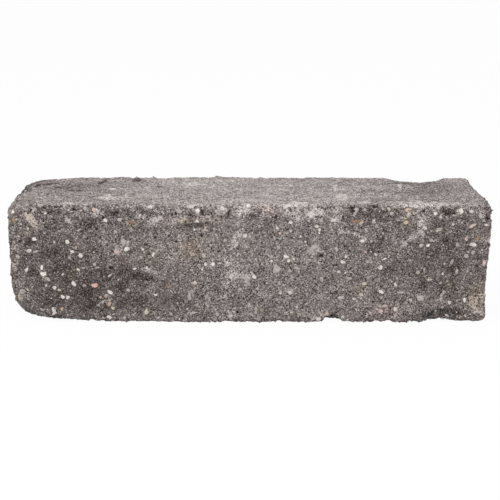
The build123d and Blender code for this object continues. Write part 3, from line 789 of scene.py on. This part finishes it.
class Nodes:
    """Short calls that add nodes to a material and join them up."""

    def __init__(self, name):
        self.material = bpy.data.materials.new(name)
        self.material.use_nodes = True
        self.tree = self.material.node_tree
        self.shader = self.tree.nodes["Principled BSDF"]
        self.where = self.add("ShaderNodeTexCoord").outputs["Object"]

    def add(self, kind, settings=(), **inputs):
        """A node with these settings and these values or links for its inputs."""
        node = self.tree.nodes.new(kind)
        for key, value in dict(settings).items():
            setattr(node, key, value)
        for key, value in inputs.items():
            self.feed(node.inputs[key.replace("_", " ")], value)
        return node

    def feed(self, socket, value):
        """Give an input a value, or link another node's output to it."""
        if isinstance(value, bpy.types.NodeSocket):
            self.tree.links.new(value, socket)
        else:
            socket.default_value = value

    def stretched(self, scale):
        """The object's own places, scaled differently along each axis."""
        return self.add("ShaderNodeMapping", Vector=self.where, Scale=scale).outputs[0]

    def noise(self, scale, detail=2.0, roughness=0.5, where=None):
        node = self.add("ShaderNodeTexNoise", Vector=where or self.where, Scale=scale,
                        Detail=detail, Roughness=roughness)
        return node.outputs[0]

    def cells(self, scale, where=None):
        return self.add("ShaderNodeTexVoronoi", Vector=where or self.where, Scale=scale)

    def ramp(self, value, low, high, to_low=0.0, to_high=1.0):
        """A smooth change from one number to another as the value rises."""
        node = self.add("ShaderNodeMapRange", {"clamp": True, "interpolation_type": "SMOOTHSTEP"},
                        Value=value, From_Min=low, From_Max=high, To_Min=to_low, To_Max=to_high)
        return node.outputs[0]

    def sum(self, *values):
        total = values[0]
        for value in values[1:]:
            total = self.join("ADD", total, value)
        return total

    def times(self, first, second):
        return self.join("MULTIPLY", first, second)

    def join(self, operation, first, second):
        """What an operation makes of two numbers."""
        node = self.tree.nodes.new("ShaderNodeMath")
        node.operation = operation
        self.feed(node.inputs[0], first)
        self.feed(node.inputs[1], second)
        return node.outputs[0]

    def swing(self, value, size):
        """A value from 0 to 1 turned into one that swings about 0 by half the size."""
        return self.times(self.join("SUBTRACT", value, 0.5), size)

    def spikes(self, value, size):
        """The same by at most the size, with most of the values near 0."""
        return self.times(self.join("POWER", self.swing(value, 2.0), 5.0), size)

    def colours(self, value, *stops):
        """Colours along a value: each stop is a place from 0 to 1 and a screen colour."""
        node = self.add("ShaderNodeValToRGB", Fac=value)
        line = node.color_ramp.elements
        for index, (place, colour) in enumerate(stops):
            stop = line[index] if index < 2 else line.new(place)
            stop.position = place
            stop.color = rgb(*colour)
        return node.outputs[0]

    def mix(self, share, first, second, blend="MIX"):
        """Two colours blended, with this share of the second."""
        node = self.tree.nodes.new("ShaderNodeMix")
        node.data_type = "RGBA"
        node.blend_type = blend
        self.feed(node.inputs[0], share)
        self.feed(node.inputs[6], first)
        self.feed(node.inputs[7], second)
        return node.outputs[2]

    def attribute(self, name, output="Fac"):
        """What a mesh keeps for each of its points under this name."""
        return self.add("ShaderNodeAttribute", {"attribute_name": name}).outputs[output]

    def random_of(self, cell_node):
        """One random number from 0 to 1 for each cell."""
        return self.add("ShaderNodeSeparateColor", Color=cell_node.outputs["Color"]).outputs[0]

    def dots(self, scale, share, size):
        """1 in round dots: share of the cells hold one, and size is its reach in the cell."""
        cells = self.cells(scale)
        held = self.ramp(self.random_of(cells), 1 - share, 1 - share + 0.02)
        return self.times(held, self.ramp(cells.outputs["Distance"], 0.6 * size, size, 1.0, 0.0))

    def bump(self, height, distance, strength=1.0):
        node = self.add("ShaderNodeBump", Height=height, Distance=distance, Strength=strength)
        return node.outputs[0]

    def finish(self, base, roughness, specular):
        """The surface's colour, and how rough and how shiny it is."""
        self.feed(self.shader.inputs["Base Color"], base)
        self.shader.inputs["Roughness"].default_value = roughness
        self.shader.inputs["Specular IOR Level"].default_value = specular


def rgb(red, green, blue):
    """A screen colour as a shader's colour with full cover."""
    return (*linear((red, green, blue)), 1.0)


def concrete_material():
    """Charcoal concrete with lime and dark patches, the dark ones partly painted shade, pinholes
    painted dark as painted shade, pale specks and a painted highlight along the top front arris,
    sandy, streaked and lifted lighter on the top, partly as painted light from above and partly as its
    paler face, and crumbly by the arrises. A larger scale makes a finer pattern."""
    n = Nodes("tumbled_concrete")
    top = n.attribute("top")
    ochre = n.attribute("ochre")
    drawn_out = n.stretched((1.0, 0.5, 1.0))
    mottle = n.noise(75.0, detail=1.0, roughness=0.6)
    clouds = n.noise(210.0, detail=4.0, roughness=0.75)
    crumbs = n.random_of(n.cells(330.0))
    grains = n.random_of(n.cells(950.0))
    grit = n.noise(1300.0, detail=1.0, where=drawn_out)
    sand = n.random_of(n.cells(620.0, drawn_out))
    clods = n.random_of(n.cells(190.0))
    sandy = n.sum(n.swing(crumbs, 0.12), n.swing(sand, 0.52))
    crumbly = n.sum(n.swing(crumbs, 0.36), n.swing(clods, 0.28))
    speckle = n.join("MINIMUM", n.spikes(grains, 1.6), 0.36)
    fine = n.sum(speckle, n.times(sandy, top), n.times(crumbly, n.attribute("crumbly")),
                 n.swing(grit, 0.2), n.swing(mottle, 0.3))
    streaks = n.noise(1.0, where=n.stretched((14.0, 56.0, 56.0)))
    ragged = n.times(n.swing(clouds, 2.2), n.ramp(top, 0.0, 1.0, 1.0, 0.45))
    pale = n.ramp(n.sum(n.attribute("pale"), ragged), 0.35, 0.55)
    dark = n.ramp(n.sum(n.attribute("dark"), n.swing(clouds, 0.8)), 0.0, 0.9)
    # Pores painted black: painted shade in them; the bump sinks them too
    pores_painted_shade = n.dots(320.0, share=0.34, size=0.31)
    specks = n.dots(350.0, share=0.10, size=0.24)

    # How light the concrete is, from 0 to 1. The top's lift in it is partly painted light from above
    # and partly the top's paler face.
    value = n.sum(0.47, n.attribute("tone_and_painted_light"), n.times(pale, 0.28), n.times(dark, -0.17),
                  n.times(top, 0.137), n.times(ochre, 0.12),
                  n.times(fine, n.ramp(top, 0.0, 1.0, 1.0, 0.8)), n.times(n.swing(streaks, 0.35), top),
                  n.times(pores_painted_shade, -1.0), n.times(specks, 0.5))
    base = n.colours(value, (0.0, (38, 32, 30)), (0.2, (78, 70, 67)), (0.45, (118, 109, 106)),
                     (0.7, (162, 153, 150)), (1.0, (214, 206, 201)))
    base = n.mix(n.times(ochre, 0.8), base, rgb(232, 216, 186), "MULTIPLY")
    base = n.mix(n.times(n.attribute("pink"), 0.5), base, rgb(252, 226, 222), "MULTIPLY")
    n.finish(base, roughness=0.95, specular=0.25)
    height = n.sum(grains, grit, n.times(pores_painted_shade, -2.0))
    n.feed(n.shader.inputs["Normal"], n.bump(height, 0.5 * MM, n.ramp(top, 0.0, 1.0, 0.5, 0.2)))
    return n.material


def stone_material():
    """Worn stones of many colours, clouded and pocked with paste."""
    n = Nodes("exposed_stone")
    colour = n.attribute("stone_colour", "Color")
    cloudy = n.noise(260.0, detail=3.0, roughness=0.6)
    colour = n.mix(n.ramp(cloudy, 0.35, 0.7, 0.0, 0.7), colour, rgb(200, 192, 188), "MULTIPLY")
    pocks = n.dots(420.0, share=0.22, size=0.4)
    colour = n.mix(n.times(pocks, 0.7), colour, rgb(84, 75, 71))
    n.finish(colour, roughness=0.7, specular=0.3)
    height = n.sum(cloudy, n.times(pocks, -1.0))
    n.feed(n.shader.inputs["Normal"], n.bump(height, 0.3 * MM, strength=0.6))
    return n.material


def background_rays(tree):
    """1 for rays that show the background: the camera's, mirrored ones and those through glass."""
    path = tree.nodes.new("ShaderNodeLightPath")
    shown = path.outputs["Is Camera Ray"]
    for kind in ("Is Glossy Ray", "Is Transmission Ray"):
        either = tree.nodes.new("ShaderNodeMath")
        either.operation = "MAXIMUM"
        tree.links.new(shown, either.inputs[0])
        tree.links.new(path.outputs[kind], either.inputs[1])
        shown = either.outputs[0]
    return shown


def floor_material():
    """A pale floor, nearly plain white to the rays that show the background."""
    n = Nodes("pale_floor")
    n.finish((0.9, 0.9, 0.9, 1), roughness=0.9, specular=0.0)
    white = n.add("ShaderNodeEmission", Strength=1.0)
    mixed = n.add("ShaderNodeMixShader")
    n.feed(mixed.inputs[0], n.times(background_rays(n.tree), FLOOR_WHITE))
    n.feed(mixed.inputs[1], n.shader.outputs[0])
    n.feed(mixed.inputs[2], white.outputs[0])
    n.feed(n.tree.nodes["Material Output"].inputs["Surface"], mixed.outputs[0])
    return n.material


# Stage

def make_floor():
    """A wide floor just under the block."""
    half = FLOOR_HALF
    mesh = bpy.data.meshes.new("floor")
    mesh.from_pydata([(-half, -half, 0), (half, -half, 0), (half, half, 0), (-half, half, 0)],
                     [], [(0, 1, 2, 3)])
    mesh.materials.append(floor_material())
    floor = bpy.data.objects.new("floor", mesh)
    floor.location.z = LOW[2] - FLOOR_DROP
    bpy.context.scene.collection.objects.link(floor)


def area_lamp(name, at, width, watts):
    """A round soft lamp, turned to the block."""
    data = bpy.data.lights.new(name, "AREA")
    data.shape = "DISK"
    data.size = width
    data.energy = watts
    lamp = bpy.data.objects.new(name, data)
    lamp.location = at
    aim = LAMP_AIM - lamp.location
    lamp.rotation_euler = aim.to_track_quat("-Z", "Y").to_euler()
    bpy.context.scene.collection.objects.link(lamp)


def make_lights():
    """The world, white to look at and a soft light on the block, and the lamps."""
    world = bpy.data.worlds.new("studio")
    bpy.context.scene.world = world
    world.use_nodes = True
    tree = world.node_tree
    ambient = tree.nodes["Background"]
    ambient.inputs["Color"].default_value = WORLD_COLOUR
    ambient.inputs["Strength"].default_value = WORLD_STRENGTH
    white = tree.nodes.new("ShaderNodeBackground")
    white.inputs["Color"].default_value = (1, 1, 1, 1)
    white.inputs["Strength"].default_value = 1.0
    mixed = tree.nodes.new("ShaderNodeMixShader")
    tree.links.new(background_rays(tree), mixed.inputs[0])
    tree.links.new(ambient.outputs[0], mixed.inputs[1])
    tree.links.new(white.outputs[0], mixed.inputs[2])
    tree.links.new(mixed.outputs[0], tree.nodes["World Output"].inputs["Surface"])
    for name, (at, width, watts) in LAMPS.items():
        area_lamp(name, at, width, watts)


def dress_block():
    """The block's skin in the solid's place, with the stones, dark slivers of painted shade and the
    grit bedded in it.
    """
    skin = Skin()
    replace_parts(add_object("block_skin", skin.mesh, concrete_material()), NODE)

    finish = stone_material()
    rng = np.random.default_rng(7)
    unseen = (1 - skin.seen) * (1 - 0.8 * skin.top)
    seen = skin.seen * (1 - 0.93 * skin.top)
    by_arris = nearness_to_arris(skin.points, CRUMBS_REACH) ** 2
    # The seen stones come with dark slivers of painted shade
    stones = list(stones_and_shade_in_photo(skin, rng))
    stones += scattered_stones(skin, *UNSEEN_STONES, UNSEEN_MIX, unseen, rng, patchy=0.6)
    stones += scattered_stones(skin, *SEEN_STONES, SEEN_MIX, seen, rng, patchy=0.6)
    stones += scattered_stones(skin, *CRUMBS, CRUMB_MIX, by_arris, rng)
    mesh = stones_mesh("exposed_stones_and_shade", stones, rounds=2, cuts=8, proud=STONES_PROUD, seed=8)
    add_object("exposed_stones_and_shade", mesh, finish)
    grit = scattered_stones(skin, *GRIT, GRIT_MIX, 1 - 0.75 * skin.top, rng, patchy=0.8)
    mesh = stones_mesh("grit", grit, rounds=1, cuts=2, proud=GRIT_PROUD, seed=9)
    add_object("grit", mesh, finish)


make_camera()
dress_block()
make_floor()
make_lights()
bpy.context.scene.view_settings.view_transform = "Standard"
